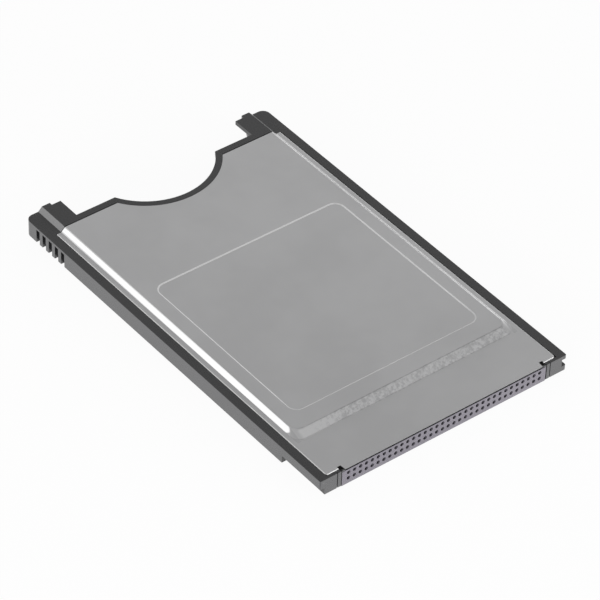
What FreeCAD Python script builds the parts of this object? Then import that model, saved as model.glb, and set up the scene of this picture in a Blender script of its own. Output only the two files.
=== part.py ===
import FreeCAD, Part
import Sketcher
import math
import os

# A passive adapter that carries a 50-pin memory card inside a laptop card slot: a moulded frame,
# two drawn steel covers, a 68-way socket block in front and a 50-pin header in the middle.
# +Y points to the mouth for the memory card, -Y to the laptop, +Z up; the underside is at Z 0.

doc = FreeCAD.newDocument("memory_card_adapter")
sheet = doc.addObject("Spreadsheet::Sheet", "sizes")


class Size:
    """A number that keeps the formula it was worked out by, so that a model object can be bound to it."""

    def __init__(self, text, number):
        self.text = text
        self.number = number

    def joined(self, other, sign, swapped, number):
        mine, theirs = self.text, other.text if isinstance(other, Size) else repr(other)
        left, right = (theirs, mine) if swapped else (mine, theirs)
        return Size(f"({left} {sign} {right})", number)

    def __add__(self, other):
        return self.joined(other, "+", False, self.number + number_of(other))

    def __radd__(self, other):
        return self.joined(other, "+", True, number_of(other) + self.number)

    def __sub__(self, other):
        return self.joined(other, "-", False, self.number - number_of(other))

    def __rsub__(self, other):
        return self.joined(other, "-", True, number_of(other) - self.number)

    def __mul__(self, other):
        return self.joined(other, "*", False, self.number * number_of(other))

    def __rmul__(self, other):
        return self.joined(other, "*", True, number_of(other) * self.number)

    def __truediv__(self, other):
        return self.joined(other, "/", False, self.number / number_of(other))

    def __neg__(self):
        return Size(f"(-{self.text})", -self.number)

    def root(self):
        return Size(f"sqrt({self.text})", math.sqrt(self.number))


def number_of(value):
    return value.number if isinstance(value, Size) else value


def size(name, number):
    """Writes one driving dimension to the sheet, in mm, and returns it."""
    size.row += 1
    sheet.set(f"A{size.row}", name)
    sheet.set(f"B{size.row}", repr(number))
    sheet.setAlias(f"B{size.row}", name)
    return Size(f"sizes.{name}", number)


size.row = 0

# The body that the laptop's slot takes
body_width = size("body_width", 54.0)
body_length = size("body_length", 85.6)
body_height = size("body_height", 5.0)
rail_height = size("rail_height", 3.3)
front_zone = size("front_zone", 10.0)
rear_corner_radius = size("rear_corner_radius", 1.5)
front_corner_radius = size("front_corner_radius", 0.3)

# The drawn covers
sheet_thickness = size("sheet_thickness", 0.2)
cover_width = size("cover_width", 50.3)
pan_foot_width = size("pan_foot_width", 48.3)
pan_top_width = size("pan_top_width", 46.6)
step_run = size("step_run", 1.6)
step_corner_radius = size("step_corner_radius", 2.0)
label_width = size("label_width", 41.0)
label_length = size("label_length", 40.3)
label_setback = size("label_setback", 3.8)
label_radius = size("label_radius", 2.0)
label_depth = size("label_depth", 0.12)
label_slope = size("label_slope", 0.12)
cover_front_setback = size("cover_front_setback", 0.4)
cover_corner_setback = size("cover_corner_setback", 0.77)
cover_corner_gap = size("cover_corner_gap", 0.15)
cover_corner_radius = size("cover_corner_radius", 0.6)
cover_edge_radius = size("cover_edge_radius", 0.16)
relief_width = size("relief_width", 0.75)
relief_depth = size("relief_depth", 0.9)
draw_radius = size("draw_radius", 0.3)
tab_length = size("tab_length", 3.0)
tab_drop = size("tab_drop", 1.55)
tab_pitch = size("tab_pitch", 15.5)
tab_stagger = size("tab_stagger", 6.0)
tab_first_setback = size("tab_first_setback", 6.4)

# The rear end: the thumb notch and the two lugs
notch_radius = size("notch_radius", 12.9)
notch_centre_outset = size("notch_centre_outset", 0.7)
notch_rim = size("notch_rim", 1.3)
rear_edge_setback = size("rear_edge_setback", 5.6)
rear_rim = size("rear_rim", 1.6)
rear_gap = size("rear_gap", 0.2)
lip_overlap = size("lip_overlap", 2.4)
lug_gap_width = size("lug_gap_width", 39.4)
lug_inner_setback = size("lug_inner_setback", 0.65)
mouth_flare = size("mouth_flare", 1.2)
mouth_flare_length = size("mouth_flare_length", 2.6)

# The finger grips and the keying at the front corners
grip_width = size("grip_width", 1.0)
grip_pitch = size("grip_pitch", 1.9)
grip_depth = size("grip_depth", 0.65)
grip_height = size("grip_height", 2.85)
grip_first_setback = size("grip_first_setback", 4.0)
key_length = size("key_length", 10.35)
key_depth = size("key_depth", 1.0)
key_notch_height = size("key_notch_height", 1.5)
key_groove_bottom = size("key_groove_bottom", 1.05)
key_groove_height = size("key_groove_height", 1.5)

# The memory card and its room
card_width = size("card_width", 42.8)
card_length = size("card_length", 36.4)
card_thickness = size("card_thickness", 3.3)
card_side_gap = size("card_side_gap", 0.2)
card_face_gap = size("card_face_gap", 0.05)
card_end_setback = size("card_end_setback", 0.5)

# The socket block, the header, the contacts and the circuit board
contact_pitch = size("contact_pitch", 1.27)
host_width = size("host_width", 44.7)
host_depth = size("host_depth", 9.4)
host_height = size("host_height", 2.78)
host_lip_height = size("host_lip_height", 3.14)
host_lip_depth = size("host_lip_depth", 0.35)
host_lip_drop = size("host_lip_drop", 0.25)
host_end_slot_width = size("host_end_slot_width", 0.06)
host_end_slot_depth = size("host_end_slot_depth", 0.8)
front_lip_reach = size("front_lip_reach", 0.65)
front_lip_gap = size("front_lip_gap", 0.03)
front_groove_inset = size("front_groove_inset", 3.6)
front_groove_width = size("front_groove_width", 0.18)
front_groove_depth = size("front_groove_depth", 0.25)
host_flange_width = size("host_flange_width", 48.4)
host_flange_length = size("host_flange_length", 3.6)
hole_radius = size("hole_radius", 0.36)
hole_wall = size("hole_wall", 1.2)
channel_side = size("channel_side", 0.84)
contact_width = size("contact_width", 0.5)
contact_leaf = size("contact_leaf", 0.14)
contact_setback = size("contact_setback", 1.6)
contact_fork_length = size("contact_fork_length", 4.6)
tail_thickness = size("tail_thickness", 0.2)
tail_reach = size("tail_reach", 2.6)
header_width = size("header_width", 46.4)
header_depth = size("header_depth", 4.9)
header_height = size("header_height", 4.2)
header_arm_length = size("header_arm_length", 12.0)
header_arm_height = size("header_arm_height", 3.2)
header_rib_reach = size("header_rib_reach", 0.85)
header_rib_height = size("header_rib_height", 0.9)
header_rib_offset = size("header_rib_offset", 0.45)
pin_side = size("pin_side", 0.44)
pin_tip_chamfer = size("pin_tip_chamfer", 0.12)
signal_pin_length = size("signal_pin_length", 4.5)
power_pin_length = size("power_pin_length", 5.0)
detect_pin_length = size("detect_pin_length", 3.5)
pin_tail = size("pin_tail", 3.2)
board_width = size("board_width", 47.8)
solder_gap = size("solder_gap", 0.015)
board_end_gap = size("board_end_gap", 0.2)
hold_down_width = size("hold_down_width", 1.2)
hold_down_thickness = size("hold_down_thickness", 0.25)
hold_down_reach = size("hold_down_reach", 2.2)
hold_down_root = size("hold_down_root", 1.6)
host_hold_down_inset = size("host_hold_down_inset", 0.3)
header_hold_down_inset = size("header_hold_down_inset", 2.4)
clip_width = size("clip_width", 1.5)
clip_thickness = size("clip_thickness", 0.15)
clip_foot = size("clip_foot", 1.6)
clip_run = size("clip_run", 2.2)
clip_pad = size("clip_pad", 0.7)
clip_front_distance = size("clip_front_distance", 14.0)
ledge_width = size("ledge_width", 1.9)
bay_width = size("bay_width", 48.6)
peg_radius = size("peg_radius", 0.5)
peg_inset = size("peg_inset", 0.9)
peg_rise = size("peg_rise", 0.5)
peg_clearance = size("peg_clearance", 0.06)
peg_end_distance = size("peg_end_distance", 5.5)
film_width = size("film_width", 39.0)
film_thickness = size("film_thickness", 0.1)
film_length = size("film_length", 24.0)
film_setback = size("film_setback", 1.0)
chip_pitch = size("chip_pitch", 6.0)
capacitor_x = size("capacitor_x", -10.0)
capacitor_length = size("capacitor_length", 2.0)
capacitor_width = size("capacitor_width", 1.25)
capacitor_height = size("capacitor_height", 0.9)
resistor_x = size("resistor_x", 2.0)
resistor_length = size("resistor_length", 1.6)
resistor_width = size("resistor_width", 0.8)
resistor_height = size("resistor_height", 0.45)
fit_gap = size("fit_gap", 0.05)
bay_gap = size("bay_gap", 0.1)

host_columns = 34
card_columns = 25
tab_count = 5
grip_count = 5
cut_margin = 1.0  # how far a cutting sketch runs past the faces it cuts

# Places worked out from the sizes
side_x = body_width / 2
front_y = -body_length / 2
rear_y = body_length / 2
middle_z = body_height / 2
rail_bottom = (body_height - rail_height) / 2
rail_top = rail_bottom + rail_height
seat_top = rail_top - sheet_thickness
cover_x = cover_width / 2
foot_x = pan_foot_width / 2
top_x = pan_top_width / 2
step_foot_y = front_y + front_zone
step_top_y = step_foot_y + step_run
notch_y = rear_y + notch_centre_outset
rear_edge_y = rear_y - rear_edge_setback
cover_rear_y = rear_edge_y - rear_rim
cover_front_y = front_y + cover_front_setback
cover_corner_y = front_y + cover_corner_setback
label_front_y = step_top_y + label_setback
cover_inner_z = body_height - sheet_thickness
label_back = cover_inner_z - label_depth
slot_x = card_width / 2 + card_side_gap
slot_bottom = (body_height - card_thickness) / 2 - card_face_gap
slot_top = body_height - slot_bottom
header_face_y = rear_y - card_end_setback - card_length
header_back_y = header_face_y - header_depth
header_arm_end_y = header_face_y + header_arm_length
host_opening_x = host_width / 2 + fit_gap
front_lip_x = host_opening_x - front_lip_reach
host_back_y = front_y + host_depth
host_flange_y = host_back_y - host_flange_length
row_up = middle_z + contact_pitch / 2
row_down = middle_z - contact_pitch / 2
board_thickness = contact_pitch - pin_side - 2 * solder_gap
board_bottom = middle_z - board_thickness / 2
board_top = middle_z + board_thickness / 2
board_front_y = host_back_y + board_end_gap
board_rear_y = header_back_y - board_end_gap
host_hold_down_x = host_width / 2 + host_hold_down_inset
header_hold_down_x = header_width / 2 - header_hold_down_inset - hold_down_width
clip_x = label_width / 2 + 3 * bay_gap
bay_x = bay_width / 2
arm_bay_x = header_width / 2 + bay_gap
arm_bay_rear_y = header_arm_end_y + 3 * bay_gap
peg_x = board_width / 2 - peg_inset
peg_front_y = board_front_y + peg_end_distance
peg_rear_y = board_rear_y - peg_end_distance


def slope_offset(run, rise):
    """How far a slope's foot moves sideways on the inner side of the bent sheet."""
    slant = (run * run + rise * rise).root()
    return sheet_thickness * (slant - run) / rise


side_offset = slope_offset(foot_x - top_x, rail_bottom)
step_offset = slope_offset(step_run, rail_bottom)


def bind(thing, field, value):
    if isinstance(value, Size):
        thing.setExpression(field, value.text)
    else:
        setattr(thing, field, value)


def new_body(label, several=False):
    made = doc.addObject("PartDesign::Body", label)
    made.Label = label
    made.AllowCompound = several
    made.Placement = FreeCAD.Placement()
    return made


def origin_part(body, role):
    return next(o for o in body.Origin.OriginFeatures if o.Role == role)


def new_sketch(body, name, role, level):
    """A sketch on one of the body's own planes, lifted along its normal unless level is a plain 0."""
    made = body.newObject("Sketcher::SketchObject", name)
    made.AttachmentSupport = [(origin_part(body, role), "")]
    made.MapMode = "FlatFace"
    if isinstance(level, Size):
        made.setExpression("AttachmentOffset.Base.z", level.text)
    return made


def pin_point(sketch, edge, end, x, y):
    """Ties one end of a sketch edge to its place. A plain 0 ties it to the sketch's own axis."""
    for kind, value, axis in (("DistanceX", x, -2), ("DistanceY", y, -1)):
        if isinstance(value, Size):
            index = sketch.addConstraint(Sketcher.Constraint(kind, edge, end, value.number))
            sketch.setExpression(f"Constraints[{index}]", value.text)
        else:
            sketch.addConstraint(Sketcher.Constraint("PointOnObject", edge, end, axis))


def tie_radius(sketch, edge, radius):
    index = sketch.addConstraint(Sketcher.Constraint("Radius", edge, radius.number))
    sketch.setExpression(f"Constraints[{index}]", radius.text)


def heading(start, end):
    """The direction of an edge that runs along one of the sketch's axes."""
    dx = number_of(end[0]) - number_of(start[0])
    dy = number_of(end[1]) - number_of(start[1])
    return (0, int(math.copysign(1, dy))) if abs(dx) < abs(dy) else (int(math.copysign(1, dx)), 0)


def flat(x, y):
    return FreeCAD.Vector(number_of(x), number_of(y), 0)


def outline(sketch, corners):
    """A closed loop, anticlockwise. A corner of three values is rounded by its third."""
    ends = []
    for at, corner in enumerate(corners):
        x, y = corner[:2]
        if len(corner) == 2:
            ends.append((x, y, x, y, None))
            continue
        come = heading(corners[at - 1], corner)
        leave = heading(corner, corners[(at + 1) % len(corners)])
        r = corner[2]
        ends.append((x - come[0] * r, y - come[1] * r, x + leave[0] * r, y + leave[1] * r, r))
    edges = []
    for at, (_, _, x0, y0, _) in enumerate(ends):
        x1, y1, x2, y2, r = ends[(at + 1) % len(ends)]
        line = sketch.addGeometry(Part.LineSegment(flat(x0, y0), flat(x1, y1)))
        edges.append(line)
        pin_point(sketch, line, 1, x0, y0)
        if r is None:
            continue
        pin_point(sketch, line, 2, x1, y1)
        corner = corners[(at + 1) % len(corners)]
        bulge = flat(corner[0], corner[1])
        chord = (flat(x1, y1) + flat(x2, y2)) * 0.5
        centre = chord + (chord - bulge)
        middle = centre + (bulge - centre).normalize() * r.number
        arc = sketch.addGeometry(Part.Arc(flat(x1, y1), middle, flat(x2, y2)))
        edges.append(arc)
        tie_radius(sketch, arc, r)
    join_ends(sketch, edges)


def join_ends(sketch, edges):
    """Joins each edge's end to the next edge's start, whichever way round an arc runs."""
    for at, edge in enumerate(edges):
        after = edges[(at + 1) % len(edges)]
        for a, b in ((2, 1), (2, 2), (1, 1), (1, 2)):
            if sketch.getPoint(edge, a).distanceToPoint(sketch.getPoint(after, b)) < 1e-6:
                sketch.addConstraint(Sketcher.Constraint("Coincident", edge, a, after, b))
                break


def box_outline(sketch, low_x, low_y, high_x, high_y, radius=None):
    corners = [(low_x, low_y), (high_x, low_y), (high_x, high_y), (low_x, high_y)]
    if radius is not None:
        corners = [(x, y, radius) for x, y in corners]
    outline(sketch, corners)


def circle(sketch, x, y, radius):
    edge = sketch.addGeometry(Part.Circle(flat(x, y), FreeCAD.Vector(0, 0, 1), radius.number))
    pin_point(sketch, edge, 3, x, y)
    tie_radius(sketch, edge, radius)


def cup_outline(sketch, centre_y, radius, chord_y):
    """The part of a disc on the Y axis that lies in front of a straight chord."""
    half = math.sqrt(radius.number ** 2 - (centre_y.number - chord_y.number) ** 2)
    left, right = FreeCAD.Vector(-half, chord_y.number, 0), FreeCAD.Vector(half, chord_y.number, 0)
    bottom = FreeCAD.Vector(0, centre_y.number - radius.number, 0)
    chord = sketch.addGeometry(Part.LineSegment(right, left))
    arc = sketch.addGeometry(Part.Arc(left, bottom, right))
    join_ends(sketch, [chord, arc])
    sketch.addConstraint(Sketcher.Constraint("Horizontal", chord))
    sketch.addConstraint(Sketcher.Constraint("PointOnObject", arc, 3, -2))
    for edge, end, value in ((arc, 3, centre_y), (chord, 1, chord_y)):
        index = sketch.addConstraint(Sketcher.Constraint("DistanceY", edge, end, value.number))
        sketch.setExpression(f"Constraints[{index}]", value.text)
    tie_radius(sketch, arc, radius)


def feature(body, kind, name, sketch, length, backwards=False):
    """A pad or a pocket of a sketch. A length of None cuts right through both ways."""
    made = body.newObject(f"PartDesign::{kind}", name)
    made.Profile = sketch
    if length is None:
        made.SideType = "Symmetric"
        bind(made, "Length", 3 * body_length)
    else:
        bind(made, "Length", length)
    made.Reversed = backwards
    return made


def pad(body, name, sketch, length, backwards=False):
    return feature(body, "Pad", name, sketch, length, backwards)


def pocket(body, name, sketch, length, backwards=False):
    return feature(body, "Pocket", name, sketch, length, backwards)


def repeat(body, name, originals, role, spacing, count):
    """Repeats features along one of the origin's axes."""
    made = body.newObject("PartDesign::LinearPattern", name)
    made.Originals = originals
    made.Direction = (origin_part(body, role), [""])
    made.Mode = "Spacing"
    bind(made, "Offset", spacing)
    made.Occurrences = count
    body.Tip = made
    return made


def edges_where(shape, test):
    return [f"Edge{at + 1}" for at, edge in enumerate(shape.Edges) if test(edge)]


def near(a, b):
    return abs(number_of(a) - number_of(b)) < 1e-4


def dress_edges(body, kind, name, base, test, field, value):
    """Rounds or chamfers the edges of the last feature that pass a test."""
    doc.recompute()
    made = body.newObject(f"PartDesign::{kind}", name)
    made.Base = (base, edges_where(base.Shape, test))
    bind(made, field, value)
    body.Tip = made
    return made


def round_edges(body, name, base, test, radius):
    return dress_edges(body, "Fillet", name, base, test, "Radius", radius)


def across_at(y):
    """A test for the edges that lie in a plane across the body."""

    def test(edge):
        return near(edge.BoundBox.YMin, y) and near(edge.BoundBox.YMax, y)

    return test


def upright_at(x, y):
    """A test for the upright edges at a place, on either side."""

    def test(edge):
        box = edge.BoundBox
        return box.XLength < 1e-4 and box.YLength < 1e-4 and near(abs(box.XMin), x) and near(box.YMin, y)

    return test


def both_sides(sketch, near_x, low_y, far_x, high_y):
    """The same rectangle on the left and on the right."""
    box_outline(sketch, near_x, low_y, far_x, high_y)
    box_outline(sketch, -far_x, low_y, -near_x, high_y)


def tab_front_y(upper):
    start = cover_front_y + tab_first_setback
    return start if upper else start + tab_stagger


def build_frame():
    body = new_body("frame")
    outer = new_sketch(body, "frame_outline", "XY_Plane", rail_bottom)
    box_outline(outer, -side_x, front_y, side_x, rear_y)
    block = pad(body, "frame_block", outer, rail_height)
    rear = round_edges(body, "rear_corners", block, upright_at(side_x, rear_y), rear_corner_radius)
    round_edges(body, "front_corners", rear, upright_at(side_x, front_y), front_corner_radius)

    # The covers' flanges lie in shallow seats, flush with the rails
    for name, level, up in (("top_seat", seat_top, True), ("bottom_seat", body_height - seat_top, False)):
        seat = new_sketch(body, f"{name}_outline", "XY_Plane", level)
        seat_x = cover_x + fit_gap
        box_outline(seat, -seat_x, cover_corner_y - cover_corner_gap, seat_x, cover_rear_y + fit_gap)
        pocket(body, name, seat, body_height, backwards=up)

    # The rear end stands up to the covers' height, and a lip of it runs under them
    rim_y = cover_rear_y + rear_gap
    lip_y = cover_rear_y - lip_overlap
    under = sheet_thickness + fit_gap
    inner_top_x = top_x - side_offset - fit_gap
    inner_foot_x = foot_x - side_offset - fit_gap
    hat_section(body, "rear_end", rear_y, rear_y - rim_y, (foot_x, rail_bottom), (top_x, 0))
    lip_foot = (inner_foot_x, body_height - seat_top)
    hat_section(body, "rear_lip", rim_y, rim_y - lip_y, lip_foot, (inner_top_x, under))

    inside = new_sketch(body, "inside_outline", "XY_Plane", rail_bottom)
    slot_end_x = host_opening_x + host_end_slot_width
    slot_end_y = front_y + host_end_slot_depth
    right = [
        (slot_end_x, front_y - cut_margin),
        (slot_end_x, slot_end_y),
        (host_opening_x, slot_end_y),
        (host_opening_x, host_flange_y - fit_gap),
        (bay_x, host_flange_y - fit_gap),
        (bay_x, header_back_y - bay_gap),
        (arm_bay_x, header_back_y - bay_gap),
        (arm_bay_x, arm_bay_rear_y),
        (slot_x, arm_bay_rear_y),
        (slot_x, lip_y),
    ]
    outline(inside, right + [(-x, y) for x, y in reversed(right)])
    pocket(body, "inside", inside, None)

    # Small lips at the front corners reach over the socket block's ends
    lip_low = middle_z + host_height / 2 + front_lip_gap
    lips = new_sketch(body, "front_lip_outline", "XY_Plane", lip_low)
    both_sides(lips, front_lip_x, front_y, slot_end_x, cover_front_y - fit_gap)
    pad(body, "front_lips", lips, rail_top - lip_low)
    grooves = new_sketch(body, "front_groove_outline", "XY_Plane", rail_bottom)
    groove_x = side_x - front_groove_inset
    groove_end_y = front_y + front_groove_depth
    both_sides(grooves, groove_x - front_groove_width, front_y - cut_margin, groove_x, groove_end_y)
    pocket(body, "front_grooves", grooves, None)

    ring = new_sketch(body, "lip_ring_outline", "XY_Plane", under)
    cup_outline(ring, notch_y, notch_radius + notch_rim + lip_overlap, rim_y)
    pad(body, "lip_ring", ring, body_height - 2 * under)
    rim = new_sketch(body, "notch_rim_outline", "XY_Plane", 0)
    cup_outline(rim, notch_y, notch_radius + notch_rim - fit_gap, rear_edge_y)
    pad(body, "notch_rim", rim, body_height)
    wall_bottom = sheet_thickness + bay_gap
    walls = new_sketch(body, "guide_wall_outline", "XY_Plane", wall_bottom)
    both_sides(walls, slot_x, arm_bay_rear_y, top_x - side_offset - bay_gap, lip_y)
    pad(body, "guide_walls", walls, body_height - 2 * wall_bottom)

    mouth = new_sketch(body, "card_slot_section", "XZ_Plane", -(rear_y + cut_margin))
    box_outline(mouth, -slot_x, slot_bottom, slot_x, slot_top)
    pocket(body, "card_slot", mouth, rear_y + cut_margin - arm_bay_rear_y, backwards=True)
    notch = new_sketch(body, "thumb_notch_outline", "XY_Plane", rail_bottom)
    circle(notch, 0, notch_y, notch_radius)
    pocket(body, "thumb_notch", notch, None)

    # The gap between the lugs is wider below, where nothing hangs over the card
    upper_gap = new_sketch(body, "upper_gap_outline", "XY_Plane", slot_top)
    box_outline(upper_gap, -lug_gap_width / 2, rear_edge_y, lug_gap_width / 2, rear_y + cut_margin)
    pocket(body, "upper_gap", upper_gap, body_height, backwards=True)
    lower_gap = new_sketch(body, "lower_gap_outline", "XY_Plane", slot_bottom)
    box_outline(lower_gap, -slot_x, rear_edge_y, slot_x, rear_y + cut_margin)
    pocket(body, "lower_gap", lower_gap, body_height)
    step = new_sketch(body, "lug_step_outline", "XY_Plane", slot_top)
    both_sides(step, lug_gap_width / 2 - cut_margin, rear_y - lug_inner_setback, slot_x, rear_y + cut_margin)
    pocket(body, "lug_step", step, body_height, backwards=True)
    flare = new_sketch(body, "mouth_flare_outline", "XY_Plane", slot_top)
    for side in (1, -1):
        wall, wide = side * slot_x, side * (slot_x + mouth_flare)
        outline(flare, [(wall, rear_y - mouth_flare_length), (wide, rear_y), (wall, rear_y)][::side])
    pocket(body, "mouth_flare", flare, body_height)

    # Ledges carry the circuit board, and pegs stand up through its holes
    ledge_bottom = body_height - seat_top + fit_gap
    ledges = new_sketch(body, "ledge_outline", "XY_Plane", ledge_bottom)
    both_sides(ledges, bay_x - ledge_width, board_front_y, bay_x, board_rear_y)
    pad(body, "board_ledges", ledges, board_bottom - ledge_bottom)
    pegs = new_sketch(body, "peg_outline", "XY_Plane", board_bottom)
    for x in (-peg_x, peg_x):
        for y in (peg_front_y, peg_rear_y):
            circle(pegs, x, y, peg_radius)
    pad(body, "board_pegs", pegs, board_thickness + peg_rise)

    # Pockets that the covers' tabs snap into
    for name, level, upper in (("top_tab", seat_top, True), ("bottom_tab", body_height - seat_top, False)):
        start = tab_front_y(upper) - bay_gap
        end = start + tab_length + 2 * bay_gap
        depth = tab_drop - sheet_thickness + bay_gap
        hole = new_sketch(body, f"{name}_outline", "XY_Plane", level)
        both_sides(hole, cover_x - sheet_thickness - bay_gap, start, cover_x + fit_gap, end)
        first = pocket(body, f"{name}_pocket", hole, depth, backwards=not upper)
        repeat(body, f"{name}_pockets", [first], "Y_Axis", tab_pitch, tab_count)

    grip = new_sketch(body, "grip_outline", "XY_Plane", rail_bottom + grip_height)
    grip_y = rear_y - grip_first_setback - (grip_count - 1) * grip_pitch
    half_grip = grip_width / 2
    both_sides(grip, side_x - grip_depth, grip_y - half_grip, side_x + cut_margin, grip_y + half_grip)
    groove = pocket(body, "grip_groove", grip, grip_height + cut_margin)
    repeat(body, "grip_grooves", [groove], "Y_Axis", grip_pitch, grip_count)

    # The keying is open along one side's lower edge and is a groove on the other side
    start, end = front_y - cut_margin, front_y + key_length
    notch_key = new_sketch(body, "key_notch_outline", "XY_Plane", rail_bottom + key_notch_height)
    box_outline(notch_key, -side_x - cut_margin, start, -side_x + key_depth, end)
    pocket(body, "key_notch", notch_key, body_height)
    groove_key = new_sketch(body, "key_groove_outline", "XY_Plane", rail_bottom + key_groove_bottom)
    box_outline(groove_key, side_x - key_depth, start, side_x + cut_margin, end)
    pocket(body, "key_groove", groove_key, key_groove_height, backwards=True)
    return body


def hat_section(body, name, start_y, length, wide, narrow):
    """A block whose long sides slope like the covers' sides, above and below."""
    (wide_x, wide_z), (narrow_x, narrow_z) = wide, narrow
    section = new_sketch(body, f"{name}_section", "XZ_Plane", -start_y)
    right = [
        (narrow_x, narrow_z),
        (wide_x, wide_z),
        (wide_x, body_height - wide_z),
        (narrow_x, body_height - narrow_z),
    ]
    outline(section, right + [(-x, z) for x, z in reversed(right)])
    return pad(body, name, section, length)


def pan_section(body, name, level, half_width, front, rear):
    """The pan's outline at one height: square behind, with rounded corners in front."""
    section = new_sketch(body, name, "XY_Plane", level)
    r = step_corner_radius
    corners = [(-half_width, front, r), (half_width, front, r), (half_width, rear), (-half_width, rear)]
    outline(section, corners)
    return section


def loft(body, kind, name, first, last):
    made = body.newObject(f"PartDesign::{kind}Loft", name)
    made.Profile = first
    made.Sections = [last]
    made.Ruled = True
    return made


def build_cover(label, upper):
    """A drawn sheet-steel cover. The lower one is the same pressing turned over."""
    body = new_body(label)

    def level(z):
        return z if upper else body_height - z

    relief_out = host_width / 2 + 3 * fit_gap
    relief_in = relief_out - relief_width
    relief_y = cover_front_y + relief_depth
    right = [
        (relief_in, cover_front_y),
        (relief_in, relief_y),
        (relief_out, relief_y),
        (relief_out, cover_corner_y),
        (cover_x, cover_corner_y, cover_corner_radius),
        (cover_x, cover_rear_y),
    ]
    plate = new_sketch(body, f"{label}_plate_outline", "XY_Plane", level(seat_top))
    outline(plate, right + [(-corner[0], *corner[1:]) for corner in reversed(right)])
    flat_sheet = pad(body, f"{label}_plate", plate, sheet_thickness, backwards=not upper)
    round_edges(body, f"{label}_rolled_edge", flat_sheet, ear_front_at(level(rail_top)), cover_edge_radius)

    foot = pan_section(body, f"{label}_pan_foot", level(rail_top), foot_x, step_foot_y, cover_rear_y)
    crown = pan_section(body, f"{label}_pan_crown", level(body_height), top_x, step_top_y, cover_rear_y)
    pan = loft(body, "Additive", f"{label}_pan", foot, crown)
    round_edges(body, f"{label}_bend", pan, bend_at(level(body_height)), draw_radius + sheet_thickness)

    open_y = cover_rear_y + cut_margin
    inner_foot = pan_section(
        body, f"{label}_inner_foot", level(seat_top), foot_x - side_offset, step_foot_y + step_offset, open_y
    )
    inner_crown = pan_section(
        body,
        f"{label}_inner_crown",
        level(body_height - sheet_thickness),
        top_x - side_offset,
        step_top_y + step_offset,
        open_y,
    )
    loft(body, "Subtractive", f"{label}_inner_pan", inner_foot, inner_crown)

    # The label recess is pressed in, so it stands out on the inner side
    half_label = label_width / 2
    for name, z, up, make in (
        ("label_recess", body_height, not upper, pocket),
        ("label_back", body_height - sheet_thickness, upper, pad),
    ):
        area = new_sketch(body, f"{label}_{name}_outline", "XY_Plane", level(z))
        box_outline(area, -half_label, label_front_y, half_label, label_front_y + label_length, label_radius)
        pressed = make(body, f"{label}_{name}", area, label_depth, backwards=up)
        pressed.setExpression("TaperAngle", f"-atan({(label_slope / label_depth).text})")

    notch = new_sketch(body, f"{label}_notch_outline", "XY_Plane", level(seat_top))
    circle(notch, 0, notch_y, notch_radius + notch_rim)
    pocket(body, f"{label}_notch", notch, None)

    tab = new_sketch(body, f"{label}_tab_outline", "XY_Plane", level(seat_top))
    start = tab_front_y(upper)
    both_sides(tab, cover_x - sheet_thickness, start, cover_x, start + tab_length)
    first = pad(body, f"{label}_tab", tab, tab_drop - sheet_thickness, backwards=upper)
    repeat(body, f"{label}_tabs", [first], "Y_Axis", tab_pitch, tab_count)
    return body


def ear_front_at(z):
    """A test for the straight front edges of the covers' corners, on the outer face."""

    def test(edge):
        box = edge.BoundBox
        return near(box.ZMin, z) and near(box.ZMax, z) and across_at(cover_corner_y)(edge)

    return test


def bend_at(z):
    """A test for the pan's crown edges, apart from its open rear edge."""

    def test(edge):
        box = edge.BoundBox
        return near(box.ZMin, z) and near(box.ZMax, z) and box.YMin < cover_rear_y.number - 1

    return test


def build_host_housing():
    body = new_body("host_connector_housing")
    half_x, flange_x = host_width / 2, host_flange_width / 2
    low, high = middle_z - host_height / 2, middle_z + host_height / 2
    section = new_sketch(body, "host_block_section", "XZ_Plane", -host_back_y)
    box_outline(section, -half_x, low, half_x, high)
    pad(body, "host_block", section, host_depth - host_lip_depth)
    lip = new_sketch(body, "host_lip_section", "XZ_Plane", -(front_y + host_lip_depth))
    lip_top = middle_z + host_lip_height / 2 - host_lip_drop
    box_outline(lip, -half_x, lip_top - host_lip_height, half_x, lip_top)
    pad(body, "host_lip", lip, host_lip_depth)
    wings = new_sketch(body, "host_flange_section", "XZ_Plane", -host_back_y)
    both_sides(wings, half_x, low, flange_x, high)
    pad(body, "host_flanges", wings, host_flange_length)

    # A slot in each flange holds the root of a hold-down
    hold_down_slots(body, host_hold_down_x, host_back_y - hold_down_root - fit_gap, host_back_y + cut_margin)

    # Behind each eight-sided hole lies a square channel for the contact
    first_x = -(host_columns - 1) * contact_pitch / 2
    half = channel_side / 2
    channel = new_sketch(body, "channel_section", "XZ_Plane", -host_back_y)
    throat = new_sketch(body, "throat_section", "XZ_Plane", -front_y)
    for z in (row_down, row_up):
        box_outline(channel, first_x - half, z - half, first_x + half, z + half)
        octagon(throat, first_x, z, hole_radius)
    cut = pocket(body, "channel", channel, host_depth - hole_wall, backwards=True)
    bore = pocket(body, "throat", throat, hole_wall + fit_gap)
    repeat(body, "holes", [cut, bore], "X_Axis", contact_pitch, host_columns)
    return body


def hold_down_slots(body, near_x, low_y, high_y):
    """A slot on either side, a little larger than the strip that lies in it."""
    section = new_sketch(body, "hold_down_slot_outline", "XY_Plane", board_top - fit_gap)
    both_sides(section, near_x - fit_gap, low_y, near_x + hold_down_width + fit_gap, high_y)
    pocket(body, "hold_down_slots", section, hold_down_thickness + 2 * fit_gap, backwards=True)


def build_hold_downs(label, near_x, back_y, away):
    """Two flat strips, rooted in a connector's back and soldered down on the board."""
    body = new_body(label, several=True)
    root_y, tip_y = back_y - away * hold_down_root, back_y + away * hold_down_reach
    low_y, high_y = (root_y, tip_y) if away > 0 else (tip_y, root_y)
    area = new_sketch(body, f"{label}_outline", "XY_Plane", board_top)
    both_sides(area, near_x, low_y, near_x + hold_down_width, high_y)
    pad(body, f"{label}_strips", area, hold_down_thickness)
    return body


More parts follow.
